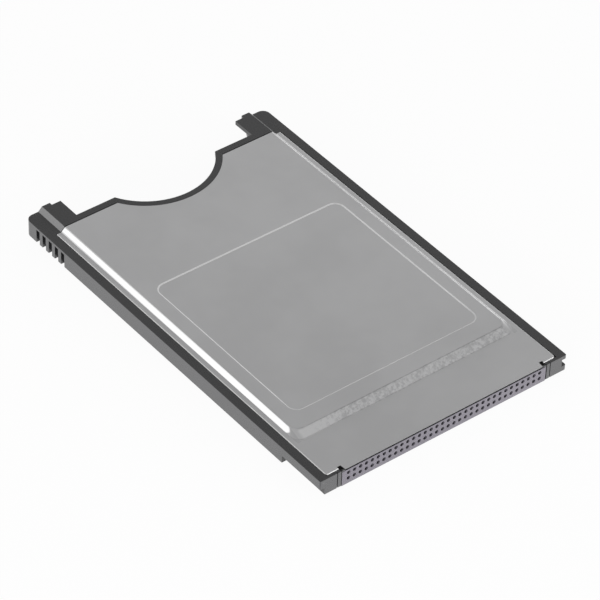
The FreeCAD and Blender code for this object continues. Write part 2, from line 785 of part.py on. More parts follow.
def octagon(sketch, x, z, radius):
    """An eight-sided loop whose flats touch a circle of the radius."""
    half = radius * math.tan(math.pi / 8)
    right = [(radius, -half), (radius, half), (half, radius), (-half, radius)]
    around = right + [(-a, -b) for a, b in right]
    outline(sketch, [(x + a, z + b) for a, b in around])


def build_host_contacts(label, upper):
    """A row of folded contacts: a fork that grips the laptop's pin, and a tail on the board."""
    body = new_body(label, several=True)

    def z(offset):
        return row_up + offset if upper else row_down - offset

    tip_y = front_y + contact_setback
    root_y = tip_y + contact_fork_length
    web_y = root_y + contact_width
    end_y = board_front_y + tail_reach
    half, inner, grip = channel_side / 2, channel_side / 2 - contact_leaf, pin_side / 2 - fit_gap
    foot_low = board_top - row_up
    corners = [
        (web_y, half),
        (tip_y, grip + contact_leaf),
        (tip_y, grip),
        (root_y, inner),
        (root_y, -inner),
        (tip_y, -grip),
        (tip_y, -grip - contact_leaf),
        (web_y, -half),
        (web_y, foot_low),
        (end_y, foot_low),
        (end_y, foot_low + tail_thickness),
        (web_y, foot_low + tail_thickness),
    ]
    first_x = -(host_columns - 1) * contact_pitch / 2
    profile = new_sketch(body, f"{label}_profile", "YZ_Plane", first_x - contact_width / 2)
    outline(profile, [(y, z(offset)) for y, offset in corners])
    first = pad(body, f"{label}_first", profile, contact_width)
    repeat(body, f"{label}_row", [first], "X_Axis", contact_pitch, host_columns)
    return body


def card_column_x(column):
    return (column - (card_columns + 1) / 2) * contact_pitch


def build_card_header():
    body = new_body("card_header_housing")
    half_x = header_width / 2
    block = new_sketch(body, "header_block_section", "XZ_Plane", -header_face_y)
    box_outline(block, -half_x, middle_z - header_height / 2, half_x, middle_z + header_height / 2)
    pad(body, "header_block", block, header_depth)
    arm_x = slot_x + fit_gap
    arms = new_sketch(body, "header_arm_section", "XZ_Plane", -header_arm_end_y)
    both_sides(arms, arm_x, middle_z - header_arm_height / 2, half_x, middle_z + header_arm_height / 2)
    pad(body, "header_arms", arms, header_arm_length)
    ribs = new_sketch(body, "header_rib_section", "XZ_Plane", -header_arm_end_y)
    for side in (1, -1):
        middle = middle_z - side * header_rib_offset
        ends = sorted((side * (arm_x - header_rib_reach), side * arm_x), key=number_of)
        half_rib = header_rib_height / 2
        box_outline(ribs, ends[0], middle - half_rib, ends[1], middle + half_rib)
    pad(body, "header_ribs", ribs, header_arm_length)
    root_end_y = header_back_y + hold_down_root + fit_gap
    hold_down_slots(body, header_hold_down_x, header_back_y - cut_margin, root_end_y)
    hole = new_sketch(body, "pin_hole_section", "XZ_Plane", -header_face_y)
    for z in (row_down, row_up):
        pin_square(hole, card_column_x(1), z)
    cut = pocket(body, "pin_hole", hole, None)
    repeat(body, "pin_holes", [cut], "X_Axis", contact_pitch, card_columns)
    return body


def pin_square(sketch, x, z):
    half = pin_side / 2
    box_outline(sketch, x - half, z - half, x + half, z + half)


def build_card_pins(label, length, places, run=None):
    """Square pins with chamfered tips. Each lies on the board with its tail."""
    body = new_body(label, several=True)
    tip_y = header_face_y + length
    section = new_sketch(body, f"{label}_section", "XZ_Plane", -tip_y)
    for column, z in places:
        pin_square(section, card_column_x(column), z)
    pins = pad(body, f"{label}_shank", section, length + header_depth + pin_tail)
    if run:
        pins = repeat(body, f"{label}_row", [pins], "X_Axis", contact_pitch, run)
    dress_edges(body, "Chamfer", f"{label}_tips", pins, across_at(tip_y), "Size", pin_tip_chamfer)
    return body


def build_board():
    body = new_body("circuit_board")
    edge = new_sketch(body, "board_outline", "XY_Plane", board_bottom)
    half_x = board_width / 2
    box_outline(edge, -half_x, board_front_y, half_x, board_rear_y)
    pad(body, "board_plate", edge, board_thickness)
    holes = new_sketch(body, "board_hole_outline", "XY_Plane", board_bottom)
    for x in (-peg_x, peg_x):
        for y in (peg_front_y, peg_rear_y):
            circle(holes, x, y, peg_radius + peg_clearance)
    pocket(body, "board_holes", holes, None)
    return body


def build_ground_clips():
    """Folded springs between the board and the covers, beside the label recesses."""
    body = new_body("ground_clips", several=True)
    front = board_front_y + clip_front_distance
    knee = front + clip_foot
    crest = knee + clip_run
    rear = crest + clip_pad
    low, high = board_top, cover_inner_z
    rise = high - clip_thickness - low
    slant = (clip_run * clip_run + rise * rise).root()
    bend_shift = clip_thickness * (slant - clip_run) / rise
    corners = [
        (front, low),
        (knee, low),
        (crest, high - clip_thickness),
        (rear, high - clip_thickness),
        (rear, high),
        (crest - bend_shift, high),
        (knee - bend_shift, low + clip_thickness),
        (front, low + clip_thickness),
    ]
    for side, start_x in (("left", -clip_x - clip_width), ("right", clip_x)):
        for name, turned in (("upper", False), ("lower", True)):
            section = new_sketch(body, f"{side}_{name}_clip_section", "YZ_Plane", start_x)
            points = [(y, body_height - z if turned else z) for y, z in corners]
            outline(section, points[::-1] if turned else points)
            pad(body, f"{side}_{name}_clip", section, clip_width)
    return body


def build_film(label, upper):
    """An insulating sheet stuck to the inner side of the label recess."""
    body = new_body(label)
    bottom = label_back - film_thickness if upper else body_height - label_back
    front = label_front_y + film_setback
    area = new_sketch(body, f"{label}_outline", "XY_Plane", bottom)
    box_outline(area, -film_width / 2, front, film_width / 2, front + film_length)
    pad(body, f"{label}_sheet", area, film_thickness)
    return body


def build_chips(label, first_x, length, width, height):
    """Two chip parts on the board, each with a metal cap at both ends."""
    body = new_body(label, several=True)
    cap = length / 5
    lift = height / 20
    chip_y = (board_front_y + board_rear_y) / 2
    core = new_sketch(body, f"{label}_core_outline", "XY_Plane", board_top)
    box_outline(core, first_x, chip_y - width / 2, first_x + length, chip_y + width / 2)
    middle = pad(body, f"{label}_core", core, height)
    ends = new_sketch(body, f"{label}_cap_outline", "XY_Plane", board_top)
    for x in (first_x, first_x + length - cap):
        box_outline(ends, x, chip_y - width / 2 - lift, x + cap, chip_y + width / 2 + lift)
    caps = pad(body, f"{label}_caps", ends, height + lift)
    repeat(body, f"{label}_pair", [middle, caps], "X_Axis", chip_pitch, 2)
    return body


def check_and_write(bodies):
    doc.recompute()
    for thing in doc.Objects:
        if "Invalid" in thing.State or "Error" in thing.State:
            raise RuntimeError(f"{thing.Name} failed: {thing.State}")
    for body in bodies:
        if body.Shape.isNull() or not body.Shape.isValid():
            raise RuntimeError(f"{body.Label} has no sound shape")
    os.makedirs("parts", exist_ok=True)
    for body in bodies:
        body.Shape.exportStep(f"parts/{body.Label}.step")
        print(f"{body.Label}: {len(body.Shape.Solids)} solids, {body.Shape.Volume:.2f} mm3")


# The signal pins of a row are two runs, one on each side of the centre column
centre_column = (card_columns + 1) // 2
signal_run = centre_column - 2
signal_starts = (2, centre_column + 1)


def signal_pins(label, row):
    return build_card_pins(label, signal_pin_length, [(column, row) for column in signal_starts], signal_run)


power_places = [(1, row_up), (centre_column, row_up), (centre_column, row_down), (card_columns, row_down)]
detect_places = [(card_columns, row_up), (1, row_down)]

doc.recompute()
check_and_write(
    [
        build_frame(),
        build_cover("top_cover", True),
        build_cover("bottom_cover", False),
        build_host_housing(),
        build_host_contacts("host_contacts_upper", True),
        build_host_contacts("host_contacts_lower", False),
        build_board(),
        build_hold_downs("host_hold_downs", host_hold_down_x, host_back_y, 1),
        build_hold_downs("header_hold_downs", header_hold_down_x, header_back_y, -1),
        build_ground_clips(),
        build_card_header(),
        signal_pins("card_signal_pins_upper", row_up),
        signal_pins("card_signal_pins_lower", row_down),
        build_card_pins("card_power_pins", power_pin_length, power_places),
        build_card_pins("card_detect_pins", detect_pin_length, detect_places),
        build_film("top_insulating_film", True),
        build_film("bottom_insulating_film", False),
        build_chips("chip_capacitors", capacitor_x, capacitor_length, capacitor_width, capacitor_height),
        build_chips("chip_resistors", resistor_x, resistor_length, resistor_width, resistor_height),
    ]
)
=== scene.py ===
import math

import bmesh
import bpy
from mathutils import Matrix, Vector


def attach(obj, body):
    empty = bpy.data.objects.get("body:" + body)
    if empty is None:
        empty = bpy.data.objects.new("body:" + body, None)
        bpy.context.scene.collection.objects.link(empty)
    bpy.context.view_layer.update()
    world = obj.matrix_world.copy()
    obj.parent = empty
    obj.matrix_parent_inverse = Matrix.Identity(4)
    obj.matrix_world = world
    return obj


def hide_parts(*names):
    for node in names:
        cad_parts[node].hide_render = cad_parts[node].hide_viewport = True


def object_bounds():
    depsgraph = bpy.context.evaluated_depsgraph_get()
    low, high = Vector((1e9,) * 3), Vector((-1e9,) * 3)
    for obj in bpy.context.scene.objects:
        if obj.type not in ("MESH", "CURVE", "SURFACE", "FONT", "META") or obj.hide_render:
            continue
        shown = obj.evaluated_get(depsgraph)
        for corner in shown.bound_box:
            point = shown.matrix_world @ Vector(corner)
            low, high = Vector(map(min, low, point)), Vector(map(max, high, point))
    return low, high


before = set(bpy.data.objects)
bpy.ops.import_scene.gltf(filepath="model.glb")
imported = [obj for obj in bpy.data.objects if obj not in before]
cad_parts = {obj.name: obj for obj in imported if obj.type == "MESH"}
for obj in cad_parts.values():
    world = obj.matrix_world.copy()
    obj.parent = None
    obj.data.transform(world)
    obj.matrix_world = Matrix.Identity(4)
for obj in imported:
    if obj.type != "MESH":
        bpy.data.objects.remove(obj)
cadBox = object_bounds()
mm = 0.001
middleZ = (cadBox[0][2] + cadBox[1][2]) / 2
print("stage: frame loaded,", len(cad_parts), "nodes")

# Camera

cameraSettings = {
    "azimuth": -39.0723,    # degrees, 0 looks along +Y
    "elevation": 40.5709,
    "roll": 1.833,
    "distance": 669.2954,    # mm from the object's middle
    "sideways": 1.7004,
    "upwards": 0.509,
    "lens": 227.767, "sensor": 36,
    "nearest": 10,    # mm, what is closer isn't drawn
}


def placeCamera(s):
    azimuth, elevation, roll = (math.radians(s[key]) for key in ("azimuth", "elevation", "roll"))
    flat = math.cos(elevation)
    back = Vector((math.sin(azimuth) * flat, -math.cos(azimuth) * flat, math.sin(elevation)))
    level = Vector((math.cos(azimuth), math.sin(azimuth), 0))
    rise = back.cross(level)
    right = level * math.cos(roll) + rise * math.sin(roll)
    up = rise * math.cos(roll) - level * math.sin(roll)
    data = bpy.data.cameras.new("camera")
    data.lens = s["lens"]
    data.sensor_width = s["sensor"]
    data.clip_start = s["nearest"] * mm
    camera = bpy.data.objects.new("camera", data)
    bpy.context.scene.collection.objects.link(camera)
    turned = Matrix((right, up, back)).transposed().to_4x4()
    spot = (back * s["distance"] + right * s["sideways"] + up * s["upwards"]) * mm
    camera.matrix_world = Matrix.Translation(spot) @ turned
    bpy.context.scene.camera = camera


placeCamera(cameraSettings)
print("stage: camera placed")


# Materials

class Wire:    # a socket of a material; sums on it add Math nodes
    def __init__(self, tree, socket=None):
        self.tree = tree
        self.socket = socket

    def node(self, kind, settings=None, values=None, output=0):
        made = self.tree.nodes.new(kind)
        for name, value in (settings or {}).items():
            if name == "stops":
                ramp = made.color_ramp.elements
                while len(ramp) < len(value):
                    ramp.new(0.5)
                for stop, (place, colour) in zip(ramp, value):
                    stop.position = place
                    stop.color = colour
            else:
                setattr(made, name, value)
        for name, value in (values or {}).items():
            if isinstance(value, Wire):
                self.tree.links.new(value.socket, made.inputs[name])
            else:
                made.inputs[name].default_value = value
        return Wire(self.tree, made.outputs[output] if made.outputs else None)

    def outputs(self, names):    # more than one output of the same node
        return [Wire(self.tree, self.socket.node.outputs[name]) for name in names]

    def maths(self, operation, *values):
        return self.node("ShaderNodeMath", {"operation": operation}, dict(enumerate(values)))

    def __add__(self, other):
        return self.maths("ADD", self, other)

    def __radd__(self, other):
        return self.maths("ADD", other, self)

    def __sub__(self, other):
        return self.maths("SUBTRACT", self, other)

    def __rsub__(self, other):
        return self.maths("SUBTRACT", other, self)

    def __mul__(self, other):
        return self.maths("MULTIPLY", self, other)

    def __rmul__(self, other):
        return self.maths("MULTIPLY", other, self)

    def __truediv__(self, other):
        return self.maths("DIVIDE", self, other)

    def __mod__(self, other):
        return self.maths("FLOORED_MODULO", self, other)

    def __gt__(self, other):
        return self.maths("GREATER_THAN", self, other)

    def __lt__(self, other):
        return self.maths("LESS_THAN", self, other)

    def __abs__(self):
        return self.maths("ABSOLUTE", self)


def newMaterial(name):
    made = bpy.data.materials.new(name)
    made.use_nodes = True
    made.node_tree.nodes.clear()
    return made, Wire(made.node_tree)


def objectAxes(wire, names=("X", "Y", "Z")):    # in metres
    spot = wire.node("ShaderNodeTexCoord", output="Object")
    return wire.node("ShaderNodeSeparateXYZ", None, {"Vector": spot}).outputs(names)


def noise(wire, scale, detail, roughness, stretch=(1, 1, 1)):    # the scale is for metres
    spot = wire.node("ShaderNodeTexCoord", output="Object")
    spot = wire.node("ShaderNodeMapping", {"vector_type": "POINT"}, {"Vector": spot, "Scale": stretch})
    values = {"Vector": spot, "Scale": scale, "Detail": detail, "Roughness": roughness}
    return wire.node("ShaderNodeTexNoise", {"noise_dimensions": "3D"}, values)


def mixColour(factor, first, second):
    first, second = [value if isinstance(value, Wire) else (*value, 1) for value in (first, second)]
    settings = {"data_type": "RGBA", "blend_type": "MIX"}
    return factor.node("ShaderNodeMix", settings, {"Factor": factor, "A": first, "B": second}, "Result")


def smoothStep(value, low, high):
    values = {"Value": value, "From Min": low, "From Max": high}
    return value.node("ShaderNodeMapRange", {"interpolation_type": "SMOOTHSTEP", "clamp": True}, values)


def fade(value, reach):    # rises from 0 to 1 over a reach in mm
    return smoothStep(value, reach[0] * mm, reach[1] * mm)


def between(value, reach):    # 1 inside a reach in mm
    return (value > reach[0] * mm) * (value < reach[1] * mm)


def bump(height, distance, strength):    # the distance is in mm
    values = {"Height": height, "Distance": distance * mm, "Strength": strength}
    return height.node("ShaderNodeBump", None, values)


gapColour = (0.02, 0.02, 0.02)    # what lies in a gap sees hardly any light


def finishSurface(wire, values, gap=None):
    values = {name: (*value, 1) if isinstance(value, tuple) else value for name, value in values.items()}
    shader = wire.node("ShaderNodeBsdfPrincipled", None, values, "BSDF")
    # a gap is painted shade: a near-black diffuse mixed in
    if gap is not None:
        black = wire.node("ShaderNodeBsdfDiffuse", None, {"Color": (*gapColour, 1)}, "BSDF")
        shader = wire.node("ShaderNodeMixShader", None, {0: gap, 1: shader, 2: black})
    wire.node("ShaderNodeOutputMaterial", None, {"Surface": shader})


def makeCoverSteel(s):    # stainless sheet, its rolling grain along Y, with a faint cloudy tone, painted highlights and painted shade
    material, wire = newMaterial("coverSteel")
    grain, cloud, speck, mottle = [noise(wire, *s[name]) for name in ("grain", "cloud", "speck", "mottle")]
    x, y, z = objectAxes(wire)
    side = abs(x)
    colour = mixColour(smoothStep(cloud, *s["cloudRange"]), s["dark"], s["light"])

    # Painted highlight: the ramp up to the pan is lighter in streaks, and evenly at its left end
    drawn = fade(y, s["drawnFront"]) * (1 - fade(y, s["drawnRear"])) * (1 - fade(side, s["drawnSide"]))
    even = (1 - fade(x, s["drawnLeft"])) * s["evenShare"]
    streaks = wire.maths("MINIMUM", smoothStep(mottle, *s["mottleRange"]) + even, 1.0)
    colour = mixColour(drawn * streaks, colour, s["drawn"])

    # Painted highlight on the label's rim: weaker at its front and its left, strongest at its rear
    labelRimFaces = wire.node("ShaderNodeAttribute", {"attribute_name": "pressed"}, None, "Fac")
    frontShare = s["pressedFrontShare"] + (1 - s["pressedFrontShare"]) * fade(y, s["pressedFront"])
    leftShare = 1 - (x < -s["labelSide"] * mm) * s["pressedLeftLoss"]
    pressed = mixColour(y > s["labelRear"] * mm, s["pressed"], s["pressedRear"])
    colour = mixColour(labelRimFaces * frontShare * leftShare, colour, pressed)

    # Painted highlight on the ears' round front edges: near white and not metallic
    rolledEdgeHighlight = (y < s["rollFront"] * mm) * (side > s["rollSide"] * mm)
    colour = mixColour(rolledEdgeHighlight, colour, s["rolledEdgeHighlight"])

    # Painted highlights on the pan's long flanks and the sheet's long edges, stronger on the left
    across = (side + y * s["flankLean"] - s["flankMiddle"] * mm) / (s["flankHalf"] * mm)
    flank = 1 - smoothStep(abs(across), *s["flankRange"])
    bright = fade(y - across * across * (s["flankRound"] * mm), s["flankFront"])
    shine = wire.maths("MAXIMUM", flank * bright, side > s["edgeSide"] * mm)
    colour = mixColour(shine * (1 - (x > 0) * s["rightLoss"]), colour, s["flankHighlight"])
    dull = flank * (1 - bright) * (y > s["drawnFront"][0] * mm)

    rough = (grain - 0.5) * s["grainRoughness"] + (cloud - 0.5) * s["cloudRoughness"] + s["roughness"]
    rough = rough + labelRimFaces * s["pressedRoughness"] + rolledEdgeHighlight * s["rolledRoughness"] + dull * s["dullRoughness"]
    height = grain * s["grainShare"] + speck * (1 - s["grainShare"]) + drawn * mottle * s["mottleShare"]
    # Painted shade: the cut edges that face the socket block lie in a gap and turn near black
    gap = (y < s["gapFront"] * mm) * (abs(z - middleZ) < s["gapHeight"] * mm)
    finishSurface(wire, {
        "Base Color": colour, "Metallic": 1 - rolledEdgeHighlight, "Roughness": rough,
        "Normal": bump(height, *s["bump"])}, gap)
    return material


def makeMouldedPlastic(name, s):    # spark-finished moulding: fine pits, faint flow marks
    material, wire = newMaterial(name)
    pits = noise(wire, *s["pits"])
    flow = noise(wire, *s["flow"])
    colour = mixColour(smoothStep(flow, *s["flowRange"]), s["dark"], s["light"])
    x, y, z = objectAxes(wire)
    gap = None
    if "deep" in s:    # painted shade: what lies behind the front face is darker
        colour = mixColour(fade(y, s["deepReach"]), colour, s["deep"])
        gap = z > s["topLevel"] * mm    # painted shade: the block's top under the cover turns near black
    if "gap" in s:    # painted shade: the slot at each end of the socket block turns near black
        side = abs(x)
        gap = between(side, s["gap"]) * (y < s["gapBack"] * mm)
        lighterFaces = wire.maths("MAXIMUM", y < s["lighterFacesFront"] * mm, side > s["lighterFacesSide"] * mm)
        colour = mixColour(lighterFaces, colour, s["lighterFaceColour"])    # painted light: the front faces and the sides are lighter
        slope = between(side, s["slope"]) * (y > s["slopeFront"] * mm)
        slope = slope * (abs(z - middleZ) > s["slopeRise"] * mm)
        colour = mixColour(slope, colour, s["slopeHighlight"])    # painted highlight on the lugs' slopes
    rough = s["roughness"] + (pits - 0.5) * s["pitRoughness"] + (flow - 0.5) * s["flowRoughness"]
    finishSurface(wire, {
        "Base Color": colour, "Roughness": rough, "Specular IOR Level": s["specular"],
        "Normal": bump(pits, *s["bump"])}, gap)
    return material


def makeContactMetal(name, s):    # gold over nickel where it mates, tin where it is soldered
    material, wire = newMaterial(name)
    [y] = objectAxes(wire, ("Y",))
    wear = noise(wire, *s["wear"])
    tin = fade(y + (wear - 0.5) * (s["tinWander"] * mm), s["tinFrom"])
    colour = mixColour(tin, mixColour(wear, s["goldDark"], s["goldLight"]), s["tin"])
    rough = s["goldRoughness"] + tin * s["tinAdds"] + (wear - 0.5) * s["wearRoughness"]
    finishSurface(wire, {
        "Base Color": colour, "Metallic": 1.0, "Roughness": rough,
        "Normal": bump(wear, *s["bump"])})
    return material


def makeTinnedMetal(s):    # tin plate, dull where it has crept
    material, wire = newMaterial("tinnedMetal")
    creep = noise(wire, *s["creep"])
    finishSurface(wire, {
        "Base Color": mixColour(creep, s["dark"], s["light"]), "Metallic": 1.0,
        "Roughness": s["roughness"] + (creep - 0.5) * s["creepRoughness"],
        "Normal": bump(creep, *s["bump"])})
    return material


def makeBoardLaminate(s):    # solder mask over copper lines, bare glass cloth at the cut edges
    material, wire = newMaterial("boardLaminate")
    x, y, z = objectAxes(wire)
    weave = noise(wire, *s["weave"])
    pitch = s["linePitch"] * mm
    turned = fade(y, s["turn"]) * (pitch / 2)    # the lines step aside by half a pitch
    line = abs((x + turned) % pitch - pitch / 2) < s["lineWidth"] * mm / 2
    inside = between(y, s["length"]) * (abs(x) < s["halfWidth"] * mm)
    mask = mixColour(line * inside, s["mask"], s["maskOnCopper"])
    edge = between(z, s["thickness"]) * (1 - inside)
    rough = s["roughness"] + (weave - 0.5) * s["weaveRoughness"] + edge * s["edgeRoughness"]
    height = line * inside * s["lineShare"] + weave * s["weaveShare"]
    finishSurface(wire, {
        "Base Color": mixColour(edge, mask, s["edge"]), "Roughness": rough,
        "Normal": bump(height, *s["bump"])})
    return material


def makeFilm(s):    # amber insulating film, slightly wavy where it is stuck down
    material, wire = newMaterial("insulatingFilm")
    wave = noise(wire, *s["wave"])
    dust = noise(wire, *s["dust"])
    colour = mixColour(wave, s["dark"], s["light"])
    finishSurface(wire, {
        "Base Color": colour, "Roughness": s["roughness"] + (dust - 0.5) * s["dustRoughness"],
        "Coat Weight": s["coat"], "Normal": bump(wave, *s["bump"])})
    return material


def makeChipCeramic(name, s):    # fired body between tinned ends
    material, wire = newMaterial(name)
    [x] = objectAxes(wire, ("X",))
    grit = noise(wire, *s["grit"])
    length = s["length"] * mm
    along = abs((x - s["firstX"] * mm) % (s["pitch"] * mm) - length / 2)
    low, high = [share * length for share in s["bodyShare"]]
    end = smoothStep(along + (grit - 0.5) * (s["endWander"] * mm), low, high)
    colour = mixColour(end, mixColour(grit, s["dark"], s["light"]), s["tin"])
    rough = s["roughness"] - end * s["tinLoss"] + (grit - 0.5) * s["gritRoughness"]
    finishSurface(wire, {
        "Base Color": colour, "Metallic": end, "Roughness": rough,
        "Normal": bump(grit, *s["bump"])})
    return material


# Places are in mm, and a pair of them is where something starts and where it ends
# A noise has its scale, detail and roughness, and some a stretch. A bump has its distance in mm and strength
steelSettings = {
    "dark": (0.60, 0.60, 0.605), "light": (0.64, 0.64, 0.645),
    "grain": (9000, 2, 0.5, (1, 0.06, 1)), "speck": (5200, 1, 0.5), "grainShare": 0.7, "bump": (0.004, 0.6),
    "cloud": (60, 3, 0.6), "cloudRange": (0.3, 0.7),
    "roughness": 0.32, "grainRoughness": 0.10, "cloudRoughness": 0.05,
    "drawn": (0.83, 0.83, 0.835), "drawnFront": (-33.1, -32.7), "drawnRear": (-31.4, -30.9),
    "drawnSide": (22.2, 23.1), "drawnLeft": (-21.5, -11.5), "evenShare": 0.9,
    "mottle": (1500, 3, 0.65), "mottleRange": (0.35, 0.65), "mottleShare": 5,
    "pressed": (0.90, 0.90, 0.90), "pressedRear": (0.98, 0.98, 0.98), "pressedRoughness": 0.3,
    "pressedFront": (-27, -22), "pressedFrontShare": 0.35, "pressedLeftLoss": 0.3,
    "labelSide": 20.1, "labelRear": 12.6,
    "rolledEdgeHighlight": (0.97, 0.97, 0.97), "rolledRoughness": 0.45, "rollFront": -41.89, "rollSide": 22.3,
    "flankHighlight": (0.93, 0.93, 0.93), "rightLoss": 0.7, "edgeSide": 24.97,
    "flankMiddle": 23.68, "flankHalf": 0.40, "flankLean": 0.003,    # the lean is for each mm towards the rear
    "flankRange": (0.9, 1.1), "flankFront": (-30.6, -30.1), "flankRound": 0.7, "dullRoughness": 0.4,
    "gapFront": -42.6, "gapHeight": 1.63,
}
plasticSettings = {"flowRange": (0.25, 0.75), "pitRoughness": 0.18, "flowRoughness": 0.08}
framePlasticSettings = {
    **plasticSettings, "dark": (0.011, 0.011, 0.012), "light": (0.015, 0.015, 0.016),
    "pits": (7000, 2, 0.6), "flow": (90, 3, 0.6, (1, 0.3, 1)), "bump": (0.009, 0.5),
    "roughness": 0.29, "specular": 0.85,
    "gap": (22.34, 22.54), "gapBack": -41.9,
    "lighterFaceColour": (0.056, 0.056, 0.058), "lighterFacesFront": -42.73, "lighterFacesSide": 26.94,
    "slopeHighlight": (0.15, 0.15, 0.152), "slope": (23.32, 24.13), "slopeFront": 35.4, "slopeRise": 1.66,
}
socketPlasticSettings = {
    **plasticSettings, "dark": (0.126, 0.118, 0.138), "light": (0.150, 0.141, 0.161),
    "pits": (9000, 2, 0.6), "flow": (90, 3, 0.6, (0.3, 1, 1)), "bump": (0.006, 0.5),
    "roughness": 0.5, "specular": 0.5,
    "deep": (0.080, 0.076, 0.088), "deepReach": (-42.80, -42.74), "topLevel": 3.87,
}
headerPlasticSettings = {
    **plasticSettings, "dark": (0.050, 0.050, 0.052), "light": (0.065, 0.065, 0.066),
    "pits": (8000, 2, 0.6), "flow": (90, 3, 0.6, (0.3, 1, 1)), "bump": (0.008, 0.5),
    "roughness": 0.5, "specular": 0.5,
}
contactSettings = {
    "goldDark": (0.86, 0.62, 0.27), "goldLight": (0.95, 0.74, 0.38), "tin": (0.66, 0.66, 0.64),
    "wear": (3500, 3, 0.6), "bump": (0.006, 0.4),
    "goldRoughness": 0.22, "tinAdds": 0.16, "wearRoughness": 0.12, "tinWander": 0.3,
}
tinSettings = {
    "dark": (0.60, 0.60, 0.58), "light": (0.74, 0.73, 0.70),
    "creep": (1800, 3, 0.6), "bump": (0.006, 0.4), "roughness": 0.30, "creepRoughness": 0.2,
}
boardSettings = {
    "mask": (0.02, 0.15, 0.06), "maskOnCopper": (0.05, 0.26, 0.10), "edge": (0.36, 0.34, 0.20),
    "weave": (2600, 2, 0.5), "weaveShare": 0.1, "lineShare": 0.6, "bump": (0.02, 0.5),
    "roughness": 0.32, "weaveRoughness": 0.1, "edgeRoughness": 0.4,
    "linePitch": 1.27, "lineWidth": 0.3, "turn": (-20, -13),
    "length": (-33.1, 0.7), "halfWidth": 23.8, "thickness": (2.13, 2.87),
}
filmSettings = {
    "dark": (0.42, 0.20, 0.03), "light": (0.60, 0.32, 0.06),
    "wave": (220, 2, 0.5), "dust": (6000, 1, 0.5), "bump": (0.05, 0.5),
    "roughness": 0.24, "dustRoughness": 0.12, "coat": 0.3,
}
chipSettings = {
    "tin": (0.7, 0.69, 0.67), "roughness": 0.55, "tinLoss": 0.2, "gritRoughness": 0.1,
    "grit": (9000, 3, 0.6), "bump": (0.008, 0.5),
    "pitch": 6, "endWander": 0.04, "bodyShare": (0.29, 0.31),    # of the length, off the middle
}
capacitorSettings = {
    **chipSettings, "firstX": -10, "length": 2, "dark": (0.42, 0.30, 0.19), "light": (0.55, 0.42, 0.29)}
resistorSettings = {
    **chipSettings, "firstX": 2, "length": 1.6, "dark": (0.03, 0.03, 0.035), "light": (0.07, 0.07, 0.08)}
coverSteel = makeCoverSteel(steelSettings)
framePlastic = makeMouldedPlastic("framePlastic", framePlasticSettings)
socketPlastic = makeMouldedPlastic("socketPlastic", socketPlasticSettings)
headerPlastic = makeMouldedPlastic("headerPlastic", headerPlasticSettings)
forkMetal = makeContactMetal("forkMetal", {**contactSettings, "tinFrom": (-34.5, -34.0)})
pinMetal = makeContactMetal("pinMetal", {**contactSettings, "tinFrom": (-9, -8)})
tinnedMetal = makeTinnedMetal(tinSettings)
boardLaminate = makeBoardLaminate(boardSettings)
insulatingFilm = makeFilm(filmSettings)
capacitorCeramic = makeChipCeramic("capacitorCeramic", capacitorSettings)
resistorCeramic = makeChipCeramic("resistorCeramic", resistorSettings)
print("stage: materials made")


# Pieces that take their shape from the frame, with softened edges

labelField = {"side": 21.5, "front": -29}    # mm, the label's recess lies inside it, the pan's bends outside
meshSettings = {"merge": 0.002, "flat": 0.5, "flatWeight": 60}    # mm, degrees, weight of the flats' normals


# Says whether an edge or a face fits a rule, by its turn in degrees and by its place in mm
def isChosen(part, rule, turn):
    spots = [vert.co / mm for vert in part.verts]
    found = {
        "turn": math.degrees(turn),
        "height": min(abs(spot.z - middleZ / mm) for spot in spots),    # off the middle
        "rear": max(spot.y for spot in spots),
        "outside": max(max(abs(spot.x) - labelField["side"], labelField["front"] - spot.y) for spot in spots),
        "length": (spots[0] - spots[1]).length}
    return all(rule[key][0] < found[key] <= rule[key][1] for key in rule if key in found)


def softenedCopy(nodeName, pieceName, material, s):
    mesh = bpy.data.meshes.new(pieceName)
    shape = bmesh.new()
    shape.from_mesh(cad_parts[nodeName].data)
    bmesh.ops.remove_doubles(shape, verts=shape.verts, dist=meshSettings["merge"] * mm)
    bmesh.ops.dissolve_limit(
        shape, angle_limit=math.radians(meshSettings["flat"]), use_dissolve_boundaries=False,
        verts=shape.verts, edges=shape.edges, delimit={"NORMAL"})
    if "reach" in s:
        for vert in shape.verts:
            if vert.co.y < s["reach"]["from"] * mm:
                vert.co.y = s["reach"]["to"] * mm
                vert.co.x = math.copysign(s["reach"]["side"] * mm, vert.co.x)
    for rule in s["bevels"]:
        edges = [edge for edge in shape.edges if isChosen(edge, rule, edge.calc_face_angle(0))]
        bmesh.ops.bevel(
            shape, geom=edges, offset=rule["offset"] * mm, offset_type="OFFSET", segments=rule["segments"],
            profile=0.5, affect="EDGES", clamp_overlap=True, material=-1)
    pressed = shape.faces.layers.float.new("pressed")    # marks the label rim's faces, which the shader roughens and paints with a highlight
    for face in shape.faces:
        face.smooth = True
        face[pressed] = float("pressed" in s and isChosen(face, s["pressed"], math.acos(abs(face.normal.z))))
    for edge in shape.edges:
        edge.smooth = edge.calc_face_angle(0) < math.radians(s["smoothAngle"])
    shape.to_mesh(mesh)
    shape.free()
    mesh.materials.append(material)
    piece = bpy.data.objects.new(pieceName, mesh)
    bpy.context.scene.collection.objects.link(piece)
    weighted = piece.modifiers.new("flatFaces", "WEIGHTED_NORMAL")    # bends stay soft, flats stay flat
    weighted.mode = "FACE_AREA"
    weighted.weight = meshSettings["flatWeight"]
    weighted.keep_sharp = True
    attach(piece, "root")
    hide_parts(nodeName)
    return piece


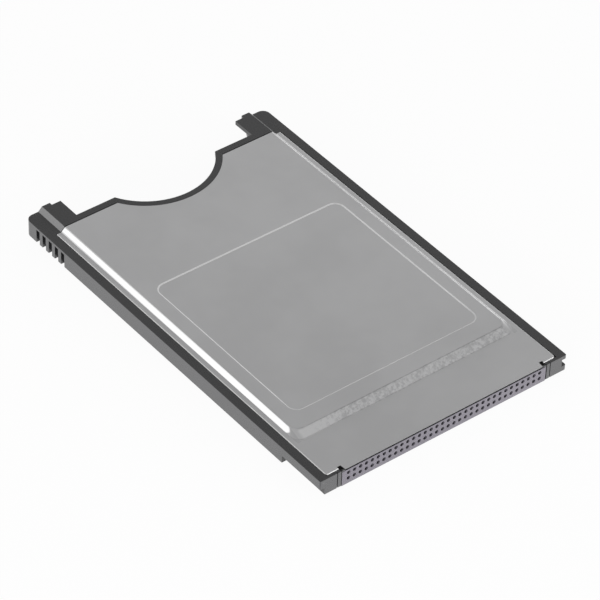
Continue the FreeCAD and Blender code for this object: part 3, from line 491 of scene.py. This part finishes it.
# Each bevel takes the edges whose turn in degrees and whose place in mm lie in its ranges
frameEdges = {"bevels": [{"turn": (30, 180), "offset": 0.07, "segments": 2}], "smoothAngle": 40}
coverEdges = {
    "bevels": [
        # the pan's foot and its top
        {"turn": (20, 55), "outside": (0, 99), "offset": 0.25, "segments": 4},
        # the label's rim
        {"turn": (20, 55), "outside": (-99, 0), "height": (2.3, 3), "offset": 0.082, "segments": 4},
        # the sheet's two long edges
        {"turn": (80, 100), "outside": (3.6, 3.7), "height": (1.6, 1.7), "length": (2, 99),
         "offset": 0.14, "segments": 3},
    ],
    "pressed": {"turn": (4, 60), "outside": (-99, 0), "height": (2.3, 3)},
    "smoothAngle": 35,
}
# The middle of the top cover's front edge comes forward, in mm
topCoverEdges = {**coverEdges, "reach": {"from": -42.3, "to": -42.74, "side": 21.65}}
socketEdges = {
    "bevels": [
        # the front face's outline
        {"turn": (80, 100), "rear": (-43, -42.7), "length": (2, 99), "offset": 0.05, "segments": 2},
        # the rims of its holes
        {"turn": (80, 100), "rear": (-43, -42.7), "length": (0, 0.5), "offset": 0.05, "segments": 1},
    ],
    "smoothAngle": 30,
}
softenedCopy("frame", "mouldedFrame", framePlastic, frameEdges)
softenedCopy("top_cover", "topCoverPressing", coverSteel, topCoverEdges)
softenedCopy("bottom_cover", "bottomCoverPressing", coverSteel, coverEdges)
softenedCopy("host_connector_housing", "socketBlock", socketPlastic, socketEdges)
print("stage: softened copies made")

# Finishes of the nodes that stay as they are

finishes = {
    "host_contacts_upper": forkMetal,
    "host_contacts_lower": forkMetal,
    "circuit_board": boardLaminate,
    "card_header_housing": headerPlastic,
    "card_signal_pins_upper": pinMetal,
    "card_signal_pins_lower": pinMetal,
    "card_power_pins": pinMetal,
    "card_detect_pins": pinMetal,
    "top_insulating_film": insulatingFilm,
    "bottom_insulating_film": insulatingFilm,
    "chip_capacitors": capacitorCeramic,
    "chip_resistors": resistorCeramic,
    "host_hold_downs": tinnedMetal,
    "header_hold_downs": tinnedMetal,
    "ground_clips": tinnedMetal,
}
for nodeName, material in finishes.items():
    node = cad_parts[nodeName]
    node.data.materials.clear()
    node.data.materials.append(material)
print("stage: nodes finished")


# Floor, backdrop and lamps

stageSettings = {
    "floorSize": 3.0,    # metres across
    "floorDrop": 0.01,    # mm below the part
    "floorColour": (0.90, 0.90, 0.90),
    "whiteShare": 0.94,    # how much of the plain white the camera sees
    # the sky is a light tent: brightness by how high it is seen, 0 level and 1 overhead
    "skyStops": [
        (0.0, 1.0), (0.15, 0.92), (0.40, 0.65), (0.56, 0.575),
        (0.64, 0.51), (0.72, 0.475), (0.86, 0.51), (1.0, 0.60)],
    # its panels and its dark flag: direction, half angle and soft rim in degrees, brightness added
    "skyPanels": [
        ((-0.651, 0.590, 0.480), 12, 9, 0.62),
        ((0.760, 0.610, 0.230), 10, 9, 0.7),
        ((0.479, 0.215, 0.852), 8, 9, -0.4)],
}
lampSettings = [
    # name, direction from the object, then distance, width and height in metres, watts
    ("frontLeftBox", (-0.85, -0.50, 0.16), 0.70, 0.40, 0.20, 4.5),
    ("frontRightBox", (0.45, -0.88, 0.12), 0.70, 0.40, 0.16, 3.5),
]


def whiteToCamera(wire, shader, share):    # gloss and glass see white, the camera white with some shadow
    rays = ("Is Camera Ray", "Is Glossy Ray", "Is Transmission Ray")
    camera, gloss, glass = wire.node("ShaderNodeLightPath").outputs(rays)
    white = wire.node("ShaderNodeEmission", None, {"Color": (1, 1, 1, 1), "Strength": 1.0}, "Emission")
    factor = wire.maths("MINIMUM", camera * share + gloss + glass, 1.0)
    return wire.node("ShaderNodeMixShader", None, {0: factor, 1: shader, 2: white})


def makeFloor(s):
    mesh = bpy.data.meshes.new("floor")
    shape = bmesh.new()
    bmesh.ops.create_grid(shape, x_segments=1, y_segments=1, size=s["floorSize"] / 2)
    shape.to_mesh(mesh)
    shape.free()
    floor = bpy.data.objects.new("floor", mesh)
    floor.location.z = -s["floorDrop"] * mm
    bpy.context.scene.collection.objects.link(floor)
    material, wire = newMaterial("floorPaper")
    paper = wire.node("ShaderNodeBsdfDiffuse", None, {"Color": (*s["floorColour"], 1)}, "BSDF")
    wire.node("ShaderNodeOutputMaterial", None, {"Surface": whiteToCamera(wire, paper, s["whiteShare"])})
    mesh.materials.append(material)


def makeSky(s):
    world = bpy.data.worlds.new("sky")
    world.use_nodes = True
    world.node_tree.nodes.clear()
    bpy.context.scene.world = world
    wire = Wire(world.node_tree)
    seen = wire.node("ShaderNodeLightPath", output="Is Camera Ray")
    way = wire.node("ShaderNodeTexCoord", output="Generated")
    height = wire.node("ShaderNodeSeparateXYZ", None, {"Vector": way}, "Z")
    stops = [(place, (level, level, level, 1)) for place, level in s["skyStops"]]
    tent = wire.node("ShaderNodeValToRGB", {"stops": stops}, {"Fac": height}, "Color")
    for direction, half, rim, added in s["skyPanels"]:
        towards = wire.node(
            "ShaderNodeVectorMath", {"operation": "DOT_PRODUCT"},
            {0: way, 1: Vector(direction).normalized()}, "Value")
        low, high = math.cos(math.radians(half + rim)), math.cos(math.radians(half))
        tent = tent + smoothStep(towards, low, high) * added
    soft = wire.node("ShaderNodeBackground", None, {"Color": (1, 1, 1, 1), "Strength": tent})
    white = wire.node("ShaderNodeBackground", None, {"Color": (1, 1, 1, 1), "Strength": 1.0})
    wire.node("ShaderNodeOutputWorld", None, {
        "Surface": wire.node("ShaderNodeMixShader", None, {0: seen, 1: soft, 2: white})})


def makeLamps(lamps):
    for name, direction, distance, width, height, watts in lamps:
        data = bpy.data.lights.new(name, "AREA")
        data.shape = "RECTANGLE"
        data.size = width
        data.size_y = height
        data.energy = watts
        lamp = bpy.data.objects.new(name, data)
        lamp.visible_camera = False
        lamp.visible_glossy = False    # no hot mirror image of a lamp in the covers, from any side
        away = Vector(direction).normalized()
        lamp.location = away * distance
        lamp.rotation_euler = away.to_track_quat("Z", "Y").to_euler()
        bpy.context.scene.collection.objects.link(lamp)


makeFloor(stageSettings)
makeSky(stageSettings)
makeLamps(lampSettings)
bpy.context.scene.view_settings.view_transform = "Standard"
print("stage: floor, sky and lamps placed")
